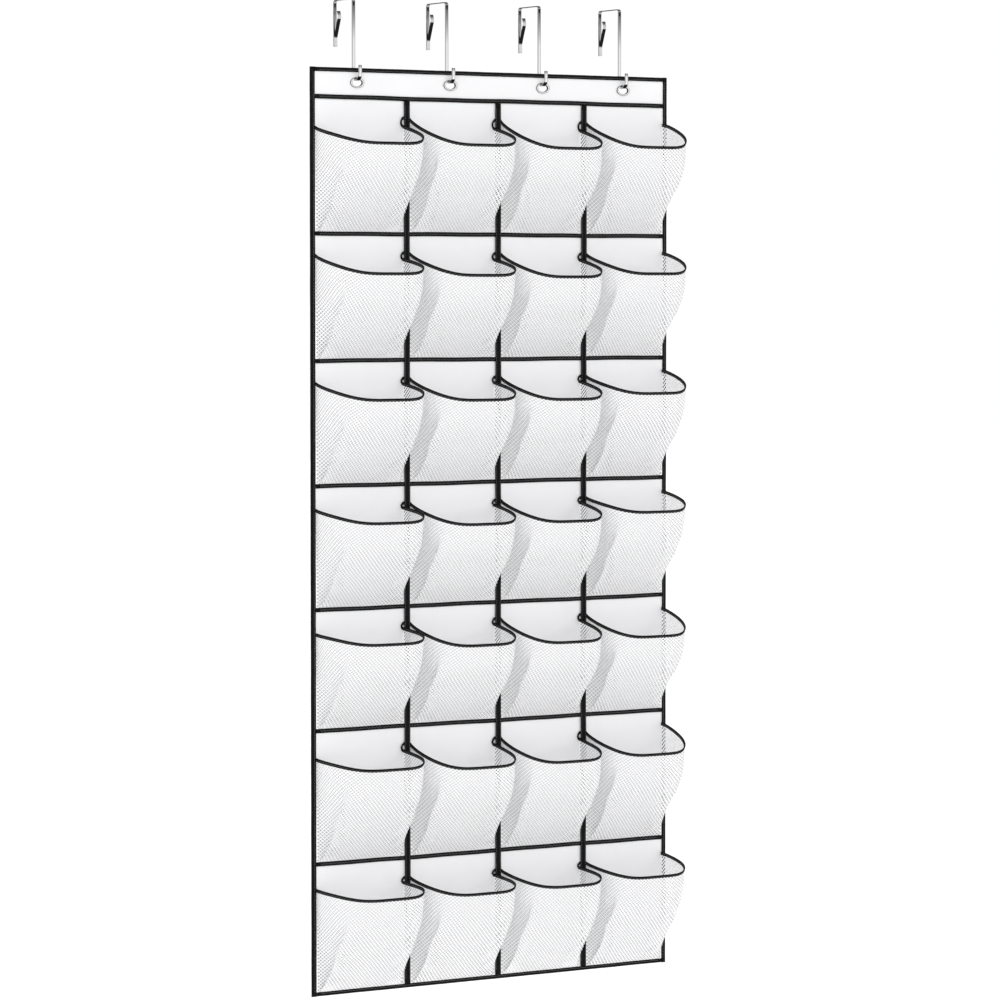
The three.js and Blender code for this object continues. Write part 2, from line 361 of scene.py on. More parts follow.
HOLE_SHARE = 0.8  # of the eyelet's own half width and height
HOLE_SIDES = 32
punch_points, punch_faces = [], []
for box in eyelet_boxes:
    centre, reach = middle(box), HOLE_SHARE * (box[1] - box[0]) / 2
    first = len(punch_points)
    for y in (box[0].y - 4 * MM, box[1].y + 4 * MM):
        for side in range(HOLE_SIDES):
            turn = 2 * math.pi * side / HOLE_SIDES
            x, z = centre.x + reach.x * math.cos(turn), centre.z + reach.z * math.sin(turn)
            punch_points.append((x, y, z))
    front, rear = range(first, first + HOLE_SIDES), range(first + HOLE_SIDES, first + 2 * HOLE_SIDES)
    punch_faces += [tuple(front), tuple(reversed(rear))]
    for side in range(HOLE_SIDES):
        after = (side + 1) % HOLE_SIDES
        punch_faces.append((front[after], front[side], rear[side], rear[after]))
punch = mesh_object("punch", punch_points, punch_faces, cloth_finish)
holes = header_cloth.modifiers.new("holes", "BOOLEAN")
holes.operation, holes.object, holes.solver = "DIFFERENCE", punch, "EXACT"
as_mesh(header_cloth)
bpy.data.objects.remove(punch)
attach(header_cloth, "panel")
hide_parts("header_panel")

# ---- Eyelets ------------------------------------------------------------------------------------
# Oval nickel-plated eyelets: a barrel through the header whose front and back rims are rolled over
# the cloth. The hooks' bends pass through them, so the panel hangs on their upper edge.
EYELET_STEPS = 48
ROLL_STEPS = 10

nickel, start = new_finish("nickel plate")
place = start.node("ShaderNodeTexCoord", output="Object")
rubbed = place.grain(260, 3.0)
# painted shade: the nickel is painted near black towards the inner and outer edges of each rolled rim,
# leaving its crest bright
outline = start.node("ShaderNodeAttribute", {"attribute_name": "outline"}, output="Fac")
surface(
    start,
    Base_Color=outline.ramp(0.35, 0.75).blend(rubbed.blend(grey(0.8), grey(0.93)), grey(0.05)),
    Metallic=1.0,
    Roughness=0.1 + rubbed * 0.14,
    Normal=rubbed.relief(0.05 * MM, 0.2),
)


def eyelet_profile(half_height, half_depth):
    """The closed section of the ring as (radius, depth): two rolled rims joined by a thin barrel."""
    hole, barrel, wall = 0.69 * half_height, 0.73 * half_height, 0.55 * half_depth
    roll = (half_height - hole) / 2
    front = []
    for step in range(ROLL_STEPS + 1):
        turn = math.pi * step / ROLL_STEPS
        front.append((hole + roll - roll * math.cos(turn), wall + (half_depth - wall) * math.sin(turn)))
    inner = [(half_height - 0.25 * MM, wall - 0.1 * MM), (barrel + 0.2 * MM, wall - 0.1 * MM)]
    half_ring = front + inner
    return half_ring + [(radius, -depth) for radius, depth in reversed(half_ring)]


for i, box in enumerate(eyelet_boxes):
    centre, reach = middle(box), (box[1] - box[0]) / 2
    profile = eyelet_profile(reach.z, reach.y)
    points, faces = [], []
    for step in range(EYELET_STEPS):
        turn = 2 * math.pi * step / EYELET_STEPS
        for radius, depth in profile:
            wide = radius * reach.x / reach.z
            place = (wide * math.cos(turn), -depth, radius * math.sin(turn))
            points.append(centre + Vector(place))
    count = len(profile)
    for step in range(EYELET_STEPS):
        here, there = step * count, (step + 1) % EYELET_STEPS * count
        for k in range(count):
            after = (k + 1) % count
            faces.append((here + k, there + k, there + after, here + after))
    eyelet = mesh_object(f"oval_eyelet_{i + 1}", points, faces, nickel)
    # the rim's painted shade grows from its crest out to its inner and outer edges
    middle_radius = (0.69 + 1) / 2 * reach.z
    painted_rim_shade = [min(1, abs(radius - middle_radius) / (0.155 * reach.z)) for radius, _ in profile] * EYELET_STEPS
    eyelet.data.attributes.new("outline", "FLOAT", "POINT").data.foreach_set("value", painted_rim_shade)
    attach(eyelet, "panel")
    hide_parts(f"eyelet_{i + 1}")

# ---- Edge tapes ---------------------------------------------------------------------------------
# Black woven polyester bias tape, folded over all four edges of the cloth and sewn through once
# with dark grey thread. The fold is soft, so the tape's width wanders by a fraction of a millimetre.
TAPE_THICKNESS = 0.8 * MM
TAPE_STEP = 7 * MM
RIB_PITCH = 0.9 * MM
STITCH_PITCH, THREAD = 4.2 * MM, 0.27 * MM
STITCH_SHARE = 0.88  # of the pitch that one stitch shows
THREAD_LIFT = 0.02 * MM  # of a seam above the face it is sewn through
SEAM_FROM_FOLD = 0.62  # of the tape's width
RIB_ACROSS = 1.3 * MM
TAPE_DRIFT, TAPE_JITTER = 0.16 * MM, 0.04 * MM

tape_finish, start = new_finish("black woven tape")
along = start.node("ShaderNodeUVMap", {"uv_map": "length"}).axis("X")
across = start.node("ShaderNodeUVMap", {"uv_map": "length"}).axis("Y")
place = start.node("ShaderNodeTexCoord", output="Object")
ribs = (along * (2 * math.pi / RIB_PITCH)).sine() * (across * (2 * math.pi / RIB_ACROSS)).sine()
dusty = place.grain(60, 3.0)
yarn = ribs.ramp(-0.7, 0.9) * 0.6 + dusty * 0.4
surface(
    start,
    Base_Color=yarn.blend(grey(0.0015), grey(0.006)),
    Roughness=0.6 + dusty * 0.2,
    Specular_IOR_Level=0.12,
    Normal=ribs.relief(0.1 * MM, 0.5),
)
thread_finish, start = new_finish("dark grey thread")
place = start.node("ShaderNodeTexCoord", output="Object")
twist = ((place.axis("X") + place.axis("Y") + place.axis("Z")) * (2 * math.pi / (0.5 * MM))).sine()
surface(
    start,
    Base_Color=twist.ramp(-1, 1).blend(grey(0.08), grey(0.2)),
    Roughness=0.6,
    Normal=twist.relief(0.05 * MM, 0.4),
)


def sweep(name, path, across, section, material, narrow=1.0):
    """Runs a closed section along a path. across[k] is the section's first axis at path[k], and its
    second axis is square to that and to the path. narrow scales the first axis, for each point or
    for all. The ends are closed, and the UV map holds metres."""
    path, across = np.array(path, float), np.array(across, float)
    section = np.array(section, float)
    ahead = np.gradient(path, axis=0)
    ahead /= np.linalg.norm(ahead, axis=1, keepdims=True)
    across = across - (across * ahead).sum(1, keepdims=True) * ahead
    across /= np.linalg.norm(across, axis=1, keepdims=True)
    outward = np.cross(ahead, across)
    widths = section[:, :1] * np.broadcast_to(narrow, len(path))[:, None, None]
    rings = path[:, None] + widths * across[:, None] + section[:, 1:] * outward[:, None]
    lengths = np.concatenate([[0], np.cumsum(np.linalg.norm(np.diff(path, axis=0), axis=1))])
    closed = np.concatenate([section, section[:1]])
    girth = np.concatenate([[0], np.cumsum(np.linalg.norm(np.diff(closed, axis=0), axis=1))])
    rows, count = len(path), len(section)
    at = np.arange(rows * count).reshape(rows, count)
    after = np.roll(at, -1, axis=1)
    quads = np.stack([at[:-1], after[:-1], after[1:], at[1:]], -1).reshape(-1, 4)
    faces = [*quads.tolist(), at[0, ::-1].tolist(), at[-1].tolist()]
    made = mesh_object(name, rings.reshape(-1, 3), faces, material)
    u = np.repeat(lengths, count).reshape(rows, count)
    v = np.tile(girth[:-1], (rows, 1))
    v_after = np.tile(girth[1:], (rows, 1))
    corner_u = np.stack([u[:-1], u[:-1], u[1:], u[1:]], -1).ravel()
    corner_v = np.stack([v[:-1], v_after[:-1], v_after[1:], v[1:]], -1).ravel()
    uv = np.zeros((len(made.data.loops), 2))
    uv[: len(corner_u)] = np.stack([corner_u, corner_v], -1)
    made.data.uv_layers.new(name="length").data.foreach_set("uv", uv.ravel())
    return made


def rounded_strip(wide, thick, corner_steps=3):
    """The closed outline of a flat strip with round edges, centred on its middle."""
    radius = thick / 2
    outline = []
    for side in (1, -1):
        for step in range(corner_steps + 1):
            turn = math.pi * (step / corner_steps - 0.5)
            out = wide / 2 - radius + radius * math.cos(turn)
            outline.append((side * out, side * radius * math.sin(turn)))
    return outline


def stitch_tree():
    """Geometry Nodes: a short round stitch of thread on every edge of the input mesh."""
    tree = bpy.data.node_groups.new("stitches", "GeometryNodeTree")
    tree.interface.new_socket("Seam", in_out="INPUT", socket_type="NodeSocketGeometry")
    for name, kind in (
        ("Thread Radius", "NodeSocketFloat"),
        ("Stitch Share", "NodeSocketFloat"),
        ("Thread", "NodeSocketMaterial"),
    ):
        tree.interface.new_socket(name, in_out="INPUT", socket_type=kind)
    tree.interface.new_socket("Stitches", in_out="OUTPUT", socket_type="NodeSocketGeometry")
    start = Sock(tree)
    given = tree.nodes.new("NodeGroupInput")
    seam, radius, share, thread = (Sock(tree, given.outputs[k]) for k in range(4))
    first_end = start.node("GeometryNodeInputMeshEdgeVertices", output="Position 1")
    last_end = start.node("GeometryNodeInputMeshEdgeVertices", output="Position 2")
    run = first_end.node("ShaderNodeVectorMath", {"operation": "SUBTRACT"}, {0: last_end, 1: first_end})
    kept = seam.node(
        "GeometryNodeStoreNamedAttribute",
        {"data_type": "FLOAT_VECTOR", "domain": "EDGE"},
        {"Geometry": seam, "Name": "run", "Value": run},
    )
    places = kept.node("GeometryNodeMeshToPoints", {"mode": "EDGES"}, {"Mesh": kept})
    held_run = start.node("GeometryNodeInputNamedAttribute", {"data_type": "FLOAT_VECTOR"}, {"Name": "run"})
    turned = start.node("FunctionNodeAlignRotationToVector", {"axis": "X"}, {"Vector": held_run})
    long = held_run.node("ShaderNodeVectorMath", {"operation": "LENGTH"}, {0: held_run}, "Value")
    line = start.node("GeometryNodeCurvePrimitiveLine", {}, {"Start": (-0.5, 0, 0), "End": (0.5, 0, 0)})
    line = line.node("GeometryNodeResampleCurve", {}, {"Curve": line, "Count": 4})
    part = start.node("GeometryNodeSplineParameter", output="Factor")
    fat = 1 - (part - 0.5).size().ramp(0.3, 0.6) * 0.9
    line = line.node("GeometryNodeSetCurveRadius", {}, {"Curve": line, "Radius": fat})
    ring = start.node("GeometryNodeCurvePrimitiveCircle", {}, {"Resolution": 5, "Radius": 1})
    body = line.node(
        "GeometryNodeCurveToMesh",
        {},
        {"Curve": line, "Profile Curve": ring, "Scale": fat, "Fill Caps": True},
    )
    scale = long.node("ShaderNodeCombineXYZ", {}, {0: long * share, 1: radius, 2: radius})
    laid = places.node(
        "GeometryNodeInstanceOnPoints",
        {},
        {"Points": places, "Instance": body, "Rotation": turned, "Scale": scale},
    )
    real = laid.node("GeometryNodeRealizeInstances", {}, {"Geometry": laid})
    done = real.node("GeometryNodeSetMaterial", {}, {"Geometry": real, "Material": thread})
    finish = tree.nodes.new("NodeGroupOutput")
    tree.links.new(done.out, finish.inputs[0])
    return tree


def set_input(modifier, name, value):
    """Sets a tree's named input through its socket's identifier."""
    items = modifier.node_group.interface.items_tree
    socket = next(item for item in items if item.name == name and item.in_out == "INPUT")
    modifier[socket.identifier] = value


stitches = stitch_tree()


def sew(name, seams):
    """One piece of thread work: each seam is a list of needle holes, with a stitch between each two."""
    points, edges = [], []
    for seam in seams:
        edges += [(len(points) + k, len(points) + k + 1) for k in range(len(seam) - 1)]
        points += [tuple(p) for p in seam]
    mesh = bpy.data.meshes.new(name)
    mesh.from_pydata(points, edges, [])
    made = bpy.data.objects.new(name, mesh)
    scene.collection.objects.link(made)
    modifier = made.modifiers.new("stitches", "NODES")
    modifier.node_group = stitches
    set_input(modifier, "Thread Radius", THREAD)
    set_input(modifier, "Stitch Share", STITCH_SHARE)
    set_input(modifier, "Thread", thread_finish)
    as_mesh(made)
    made.data.polygons.foreach_set("use_smooth", [True] * len(made.data.polygons))
    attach(made, "panel")
    return made


def needle_holes(path, pitch):
    """Points one stitch apart along a path."""
    path = np.array(path, float)
    far = np.concatenate([[0], np.cumsum(np.linalg.norm(np.diff(path, axis=0), axis=1))])
    at = np.linspace(0, far[-1], max(2, round(far[-1] / pitch) + 1))
    return np.stack([np.interp(at, far, path[:, k]) for k in range(3)], -1)


def fold_section(wide, inside, thick, fold_steps=8):
    """A tape folded over an edge: its fold at 0, its two legs reaching wide past it."""
    outside = inside + thick
    outline = []
    for step in range(fold_steps + 1):
        turn = math.pi * (step / fold_steps - 0.5)
        outline.append((outside - outside * math.cos(turn), outside * math.sin(turn)))
    outline += [(wide - 0.3 * MM, outside), (wide, outside - 0.25 * MM), (wide, inside + 0.1 * MM)]
    for step in range(4):
        turn = math.pi * (0.5 - step / 3)
        outline.append((outside - inside * math.cos(turn), inside * math.sin(turn)))
    outline += [(wide, -inside - 0.1 * MM), (wide, -outside + 0.25 * MM), (wide - 0.3 * MM, -outside)]
    return outline


panel_y = middle(header_box).y
edge_seams = []
wander = np.random.default_rng(11)
for side, inward, ends in (
    ("left", Vector((1, 0, 0)), "z"),
    ("right", Vector((-1, 0, 0)), "z"),
    ("top", Vector((0, 0, -1)), "x"),
    ("bottom", Vector((0, 0, 1)), "x"),
):
    low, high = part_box(f"binding_{side}")
    wide = (high.x - low.x) if ends == "z" else (high.z - low.z)
    depth = (high.y - low.y) / 2
    edge = {"left": low.x, "right": high.x, "top": high.z, "bottom": low.z}[side]
    first, last = getattr(low, ends), getattr(high, ends)
    runs = steps(first, last, TAPE_STEP)
    drift = TAPE_DRIFT * np.sin(runs * 31 + wander.uniform(0, 6))
    drift += wander.normal(0, TAPE_JITTER, len(runs))
    drift = np.abs(drift)
    path = []
    for run, off in zip(runs, drift):
        place = Vector((edge, panel_y, run)) if ends == "z" else Vector((run, panel_y, edge))
        path.append(place + inward * off)
    if side in ("right", "top"):
        path.reverse()
    section = fold_section(wide - 0.2 * MM, depth - TAPE_THICKNESS, TAPE_THICKNESS)
    edge_tape = sweep(f"edge_tape_{side}", path, [inward] * len(path), section, tape_finish)
    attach(edge_tape, "panel")
    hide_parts(f"binding_{side}")
    for face in (-1, 1):
        lift = Vector((0, face * (depth + THREAD_LIFT), 0)) + inward * (SEAM_FROM_FOLD * wide)
        edge_seams.append(needle_holes([place + lift for place in (path[1], path[-2])], STITCH_PITCH))
sew("edge_thread", edge_seams)

# ---- Cross tapes --------------------------------------------------------------------------------
# Seven flat tapes of the same weave, sewn over the feet of the pockets above with a zigzag stitch.
# Each runs from edge tape to edge tape and is a little wavy, as a hand-guided tape is.
ZIGZAG_PITCH, ZIGZAG_REACH = 2.7 * MM, 1.5 * MM
THREAD_SUNK = 0.2 * MM  # of a seam into the back cloth's rear face

cross_seams = []
for row in range(7):
    low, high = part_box(f"row_tape_{row + 1}")
    y = (low.y + high.y) / 2
    runs = steps(low.x, high.x, TAPE_STEP)
    dip = 0.3 * MM * np.sin(runs * 17 + 2.1 * row) + 0.2 * MM * np.sin(runs * 53 + row)
    path = [Vector((x, y, (low.z + high.z) / 2 + off)) for x, off in zip(runs, dip)]
    section = rounded_strip(high.z - low.z, TAPE_THICKNESS)
    cross_tape = sweep(f"cross_tape_{row + 1}", path, [(0, 0, 1)] * len(path), section, tape_finish)
    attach(cross_tape, "panel")
    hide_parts(f"row_tape_{row + 1}")
    holes = needle_holes(path[1:-1], ZIGZAG_PITCH)
    holes[:, 1] = low.y - THREAD_LIFT
    holes[::2, 2] += ZIGZAG_REACH
    holes[1::2, 2] -= ZIGZAG_REACH
    cross_seams.append(holes)
    cross_seams.append(holes * (1, 0, 1) + (0, back_box[1].y - THREAD_SUNK, 0))
sew("cross_thread", cross_seams)

# ---- Divider tapes ------------------------------------------------------------------------------
# Three wider tapes run down between the columns, over the cross tapes and over the mouth tapes
# that pass behind them. Two straight seams hold each one down.
DIVIDER_SEAM = 3.4 * MM  # from the tape's middle

divider_seams = []
for i in range(3):
    low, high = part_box(f"column_tape_{i + 1}")
    y = (low.y + high.y) / 2
    runs = steps(low.z, high.z, TAPE_STEP)
    bow = 0.25 * MM * np.sin(runs * 23 + 1.7 * i)
    path = [Vector(((low.x + high.x) / 2 + off, y, z)) for z, off in zip(runs, bow)]
    section = rounded_strip(high.x - low.x, TAPE_THICKNESS)
    divider_tape = sweep(f"divider_tape_{i + 1}", path, [(-1, 0, 0)] * len(path), section, tape_finish)
    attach(divider_tape, "panel")
    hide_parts(f"column_tape_{i + 1}")
    for side in (-1, 1):
        lift = Vector((side * DIVIDER_SEAM, -TAPE_THICKNESS / 2 - THREAD_LIFT, 0))
        divider_seams.append(needle_holes([p + lift for p in path[1:-1]], STITCH_PITCH))
        divider_seams.append(divider_seams[-1] * (1, 0, 1) + (0, back_box[1].y - THREAD_SUNK, 0))
sew("divider_thread", divider_seams)

# ---- Mesh pockets -------------------------------------------------------------------------------
# Warp-knitted polyester net with diamond holes. Each pocket is one flat cut about 275 mm wide: its mouth
# stands open at full width, and its foot is laid in two Z-folds and sewn flat under the next tape.
MESH_PITCH_X, MESH_PITCH_Z = 6.2 * MM, 5.6 * MM
HOLE_SCALE = 0.47  # of the diamond
FOLD_LAP = 3 * MM  # from the seam to the visible edge of the fold at the foot
FOLD_TOP, FOLD_TOP_END = 69 * MM, 75 * MM
LEFT_SQUARE, RIGHT_SQUARE = 3, 6.5  # how square the mouth's two front corners are
LEFT_FALL, RIGHT_FALL, LAST_RIGHT_FALL = 0.8, 1.1, 1.4  # how late along its sides the mouth falls
CORNER_LIFT = 8 * MM  # of the mouth towards its sides
LAST_MOUTH_SPREAD = 3 * MM  # of the last column past its seam
FULLNESS = 0.13  # how much the front bulges half way up, as a share of the mouth's depth
OPEN_FROM = 0.4  # the share of the height where the folds start to open into the mouth
FOOT_TUCK = 2.6 * MM  # of net under the tape at the foot
BILLOW = 1.4 * MM
MOST_FOLD_OUT = 0.96  # of how far the front stands out
# How far the mouth is below its cross tape, in millimetres: at the left seam of the first and of the
# other columns, at the right seam of the last column, and at the front of each pocket.
FIRST_LEFT_DROP = (46, 33, 34, 36, 37, 43, 39)
LEFT_DROP = (30, 29, 28, 29, 26, 28, 31)
RIGHT_DROP = (42, 38, 36, 36, 34, 38, 38)
LAST_RIGHT_DROP = (30, 27, 21, 23, 22, 22, 26)
FRONT_DROP = (
    (70, 70, 72, 68),
    (60, 62, 64, 59),
    (58, 60, 61, 54),
    (54, 60, 60, 50),
    (50, 58, 60, 58),
    (56, 62, 62, 60),
    (50, 53, 53, 50),
)

net_finish, start = new_finish("white polyester net")
place = start.node("ShaderNodeTexCoord", output="Object")
rim = start.node("ShaderNodeAttribute", {"attribute_name": "rim"}, output="Fac")
# painted shade: the yarn is painted darker towards the rim of each hole
hole_shade = rim.ramp(0.42, 0.92) * 0.9
filament = place.grain(1500, 2.0)
cloudy = place.grain(35, 2.0)
body = (filament * 0.5 + cloudy * 0.5).blend(grey(0.92, 0.015), grey(0.98, 0.01))
surface(
    start,
    Base_Color=hole_shade.blend(body, grey(0.12, 0.03)),
    Roughness=0.7,
    # painted glow: the whole net glows faintly, less at the hole rims, in place of light coming through it
    Emission_Color=hole_shade.blend(grey(1), grey(0.1)),
    Emission_Strength=0.11,
    Specular_IOR_Level=0.3,
    Normal=filament.relief(0.1 * MM, 0.4),
)

seam_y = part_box("row_tape_1")[1].y
mouth_depth = seam_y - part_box("pocket_r1_c1")[0].y
divider_half = (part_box("column_tape_1")[1].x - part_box("column_tape_1")[0].x) / 2
SEAM_GAP = 0.3 * MM


def column_span(column):
    left = side_edges[0] if column == 0 else divider_lines[column - 1] + divider_half
    right = side_edges[1] if column == 3 else divider_lines[column] - divider_half
    return left + SEAM_GAP, right - SEAM_GAP


def mouth_drops(row, column):
    left = FIRST_LEFT_DROP[row] if column == 0 else LEFT_DROP[row]
    right = LAST_RIGHT_DROP[row] if column == 3 else RIGHT_DROP[row]
    return left * MM, right * MM, FRONT_DROP[row][column] * MM


def mouth_curve(row, column, samples=400):
    """The line of a pocket's mouth from its left seam round the front to its right seam."""
    left, right = column_span(column)
    left_drop, right_drop, front_drop = mouth_drops(row, column)
    turn = math.pi * (1 - np.cos(np.linspace(0, math.pi, samples))) / 2
    cosine, sine = np.cos(turn), np.maximum(np.sin(turn), 0)
    sine[0] = sine[-1] = 0
    square = np.where(cosine > 0, LEFT_SQUARE, RIGHT_SQUARE)
    across = -np.sign(cosine) * np.abs(cosine) ** (2 / square)
    out = sine ** (2 / square)
    x = (left + right) / 2 + across * (right - left) / 2
    if column == 3:
        x = x + LAST_MOUTH_SPREAD * out * (across > 0)
    end = np.where(cosine > 0, left_drop, right_drop)
    fall = out ** np.where(cosine > 0, LEFT_FALL, LAST_RIGHT_FALL if column == 3 else RIGHT_FALL)
    drop = end + (front_drop - end - CORNER_LIFT * cosine**2) * fall
    return np.stack([x, seam_y - out * mouth_depth, cross_lines[row] - drop], -1)


def spaced(line):
    """(distances along a line, the line's points)."""
    far = np.concatenate([[0], np.cumsum(np.linalg.norm(np.diff(line, axis=0), axis=1))])
    return far, line


def along_line(far, line, at):
    return np.stack([np.interp(at, far, line[:, k]) for k in range(3)], -1)


def net_surface(row, column, cut, height, tuck):
    """Points of the net where cut (0 to its width) and height (0 at the foot, 1 at the mouth) say.
    The share tuck of the height lies flat under the tape at the foot. Each level runs from the seam to
    the inner fold, back to the outer fold and across the front, and is 0.95 to 1 of the cut's width."""
    hidden = np.clip(1 - height / tuck, 0, 1)
    height = np.clip((height - tuck) / (1 - tuck), 0, 1)
    far, line = spaced(mouth_curve(row, column))
    left, right = column_span(column)
    width, half_span = far[-1], (right - left) / 2
    fold = (width / 2 - half_span) / 2
    mirrored = cut > width / 2
    near = np.where(mirrored, width - cut, cut)
    # the two fold lines run from the foot towards the corner of the mouth
    inner = FOLD_LAP + fold
    first = inner + (FOLD_TOP - inner) * height
    second = inner + fold + (FOLD_TOP_END - inner - fold) * height
    back = second - first
    side = near <= first
    turned = (near > first) & (near <= second)
    out = mouth_depth * (height + FULLNESS * np.sin(math.pi * height))
    edge = np.maximum(second - 2 * fold, 0)
    reach = np.clip(np.hypot(edge, out), np.abs(first - back), first + back)
    swing = np.arccos(np.clip((first**2 + reach**2 - back**2) / (2 * first * reach), -1, 1))
    fold_out = np.clip(first * np.sin(np.arctan2(out, edge) - swing), 0, MOST_FOLD_OUT * out)
    fold_in = np.sqrt(first**2 - fold_out**2)
    edge = np.maximum(fold_in - np.sqrt(np.maximum(back**2 - (out - fold_out) ** 2, 0)), 0.5 * MM)

    def by_zone(on_side, on_fold, on_front):
        return np.where(side, on_side, np.where(turned, on_fold, on_front))

    part = by_zone(near / first, (near - first) / back, (near - second) / (width / 2 - second))
    in_fold, in_front = fold_in + (edge - fold_in) * part, edge + (half_span - edge) * part
    away = by_zone(fold_in * part, in_fold, in_front)
    stand = by_zone(fold_out * part, fold_out + (out - fold_out) * part, out)
    # the three layers lie one on another where the fold is sewn flat
    layer = by_zone(0.05 + 0.1 * part, 0.15 + 0.2 * part, 0.35 + 0.05 * part) * MM
    top = along_line(far, line, cut)
    foot_z = foot_lines[row] + 0.2 * MM
    x = np.where(mirrored, right - away, left + away)
    y = seam_y - np.maximum(stand, layer)
    open_share = np.clip((height - OPEN_FROM) / (1 - OPEN_FROM), 0, 1)
    open_share = open_share**2 * (3 - 2 * open_share)
    x += (top[:, 0] - x) * open_share
    y += (top[:, 1] - y) * open_share
    z = foot_z + (top[:, 2] - foot_z) * height - FOOT_TUCK * hidden
    across = np.clip((near - second) / (width / 2 - second), 0, 1)
    y -= BILLOW * np.sin(math.pi * height) * across * (0.6 + 0.4 * np.sin(9 * row + 4 * column + 26 * cut))
    return np.stack([x, y, z], -1)


def net_tree():
    """Geometry Nodes: cuts a hole in every face with four corners, and marks the yarn at its rim for the
    painted shade there.
    """
    tree = bpy.data.node_groups.new("net_holes", "GeometryNodeTree")
    tree.interface.new_socket("Cut", in_out="INPUT", socket_type="NodeSocketGeometry")
    tree.interface.new_socket("Hole Scale", in_out="INPUT", socket_type="NodeSocketFloat")
    tree.interface.new_socket("Yarn", in_out="INPUT", socket_type="NodeSocketMaterial")
    tree.interface.new_socket("Net", in_out="OUTPUT", socket_type="NodeSocketGeometry")
    start = Sock(tree)
    given = tree.nodes.new("NodeGroupInput")
    cut, scale, yarn = (Sock(tree, given.outputs[k]) for k in range(3))
    sides = start.node("GeometryNodeInputMeshFaceNeighbors", output="Vertex Count")
    more_than = {"data_type": "INT", "operation": "GREATER_THAN"}
    whole = sides.node("FunctionNodeCompare", more_than, {2: sides, 3: 3})
    raised = tree.nodes.new("GeometryNodeExtrudeMesh")
    raised.mode = "FACES"
    tree.links.new(cut.out, raised.inputs["Mesh"])
    tree.links.new(whole.out, raised.inputs["Selection"])
    raised.inputs["Offset Scale"].default_value = 0
    raised.inputs["Individual"].default_value = True
    mesh, top = Sock(tree, raised.outputs["Mesh"]), Sock(tree, raised.outputs["Top"])
    marked = mesh.node(
        "GeometryNodeStoreNamedAttribute",
        {"data_type": "FLOAT", "domain": "POINT"},
        {"Geometry": mesh, "Name": "rim", "Value": top},
    )
    shrunk = marked.node(
        "GeometryNodeScaleElements",
        {"domain": "FACE"},
        {"Geometry": marked, "Selection": top, "Scale": scale},
    )
    opened = shrunk.node(
        "GeometryNodeDeleteGeometry",
        {"domain": "FACE", "mode": "ALL"},
        {"Geometry": shrunk, "Selection": top},
    )
    real = opened.node("GeometryNodeRealizeInstances", {}, {"Geometry": opened})
    done = real.node("GeometryNodeSetMaterial", {}, {"Geometry": real, "Material": yarn})
    finish = tree.nodes.new("NodeGroupOutput")
    tree.links.new(done.out, finish.inputs[0])
    return tree


net_holes = net_tree()


def diamond_net(row, column):
    """The flat net as diamonds point to point, placed on the pocket's surface."""
    far, _ = spaced(mouth_curve(row, column))
    wide = 2 * round(far[-1] / MESH_PITCH_X)
    drop = cross_lines[row] - foot_lines[row] - FRONT_DROP[row][column] * MM
    high = 2 * round(math.hypot(drop, mouth_depth) / MESH_PITCH_Z)
    number = -np.ones((high + 1, wide + 1), int)
    j, i = np.nonzero((np.add.outer(np.arange(high + 1), np.arange(wide + 1)) % 2) == 0)
    number[j, i] = np.arange(len(i))
    points = net_surface(row, column, far[-1] * i / wide, j / high, 1 / high)
    faces = []
    for b in range(high + 1):
        for a in range(1 - b % 2, wide + 1, 2):
            ring = [(a - 1, b), (a, b - 1), (a + 1, b), (a, b + 1)]
            faces.append([int(number[q, p]) for p, q in ring if 0 <= p <= wide and 0 <= q <= high])
    faces = [f for f in faces if len(f) > 2]
    name = f"net_pocket_r{row + 1}_c{column + 1}"
    return mesh_object(name, points, faces, net_finish, smooth=False), far[-1]


def cut_heights(row, column, cuts):
    """How tall the flat net is cut at these places: the straight way from foot to mouth, and the tuck."""
    foot = net_surface(row, column, cuts, np.zeros(len(cuts)), 1e-6)
    mouth = net_surface(row, column, cuts, np.ones(len(cuts)), 1e-6)
    return np.linalg.norm(mouth - foot, axis=1)


for row in range(7):
    for column in range(4):
        pocket, cut_width = diamond_net(row, column)
        modifier = pocket.modifiers.new("holes", "NODES")
        modifier.node_group = net_holes
        set_input(modifier, "Hole Scale", HOLE_SCALE)
        set_input(modifier, "Yarn", net_finish)
        as_mesh(pocket)
        pocket.data.polygons.foreach_set("use_smooth", [True] * len(pocket.data.polygons))
        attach(pocket, "panel")
        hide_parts(f"pocket_r{row + 1}_c{column + 1}")
        heights = cut_heights(row, column, np.linspace(0, cut_width, 200))

# ---- Mouth tapes --------------------------------------------------------------------------------
# One narrow folded tape holds the mouths of a whole row. At each divider it comes back along the
# pocket's side, makes a small loop, and passes behind the divider tape to start the next mouth.
MOUTH_TAPE_WIDE, MOUTH_TAPE_THICK = 5.4 * MM, 2.1 * MM
LOOP_WIDE = 0.42  # of the tape's width, where the loop rolls it up
MOUTH_STEP, KNOT_STEP = 4 * MM, 7 * MM
LOOP_REACH = 9 * MM  # how far the loops stand out from the seam
BEHIND_SEAM = 0.15 * MM
TILT = 0.55  # how far the tape leans with the net below it


def loop_points(row, column):
    """From the end of one mouth round the loop and behind the divider to the start of the next."""
    end, start = mouth_curve(row, column)[-1], mouth_curve(row, column + 1)[0]
    rise = start[2] - end[2]
    x, y, z = end
    return [
        (x - 3.4 * MM, y - 1.8 * MM, z + 0.12 * rise),
        (x - 5.4 * MM, y - 2.2 * MM, z + 0.5 * rise),
        (x - 3.4 * MM, y - 1.8 * MM, z + 0.95 * rise),
        (x + 0.8 * MM, y - 0.9 * MM, z + 1.1 * rise),
        (x + 5.3 * MM, y - 0.8 * MM, z + 1.1 * rise),
        (start[0] - 0.8 * MM, y - 0.9 * MM, z + 1.04 * rise),
    ]


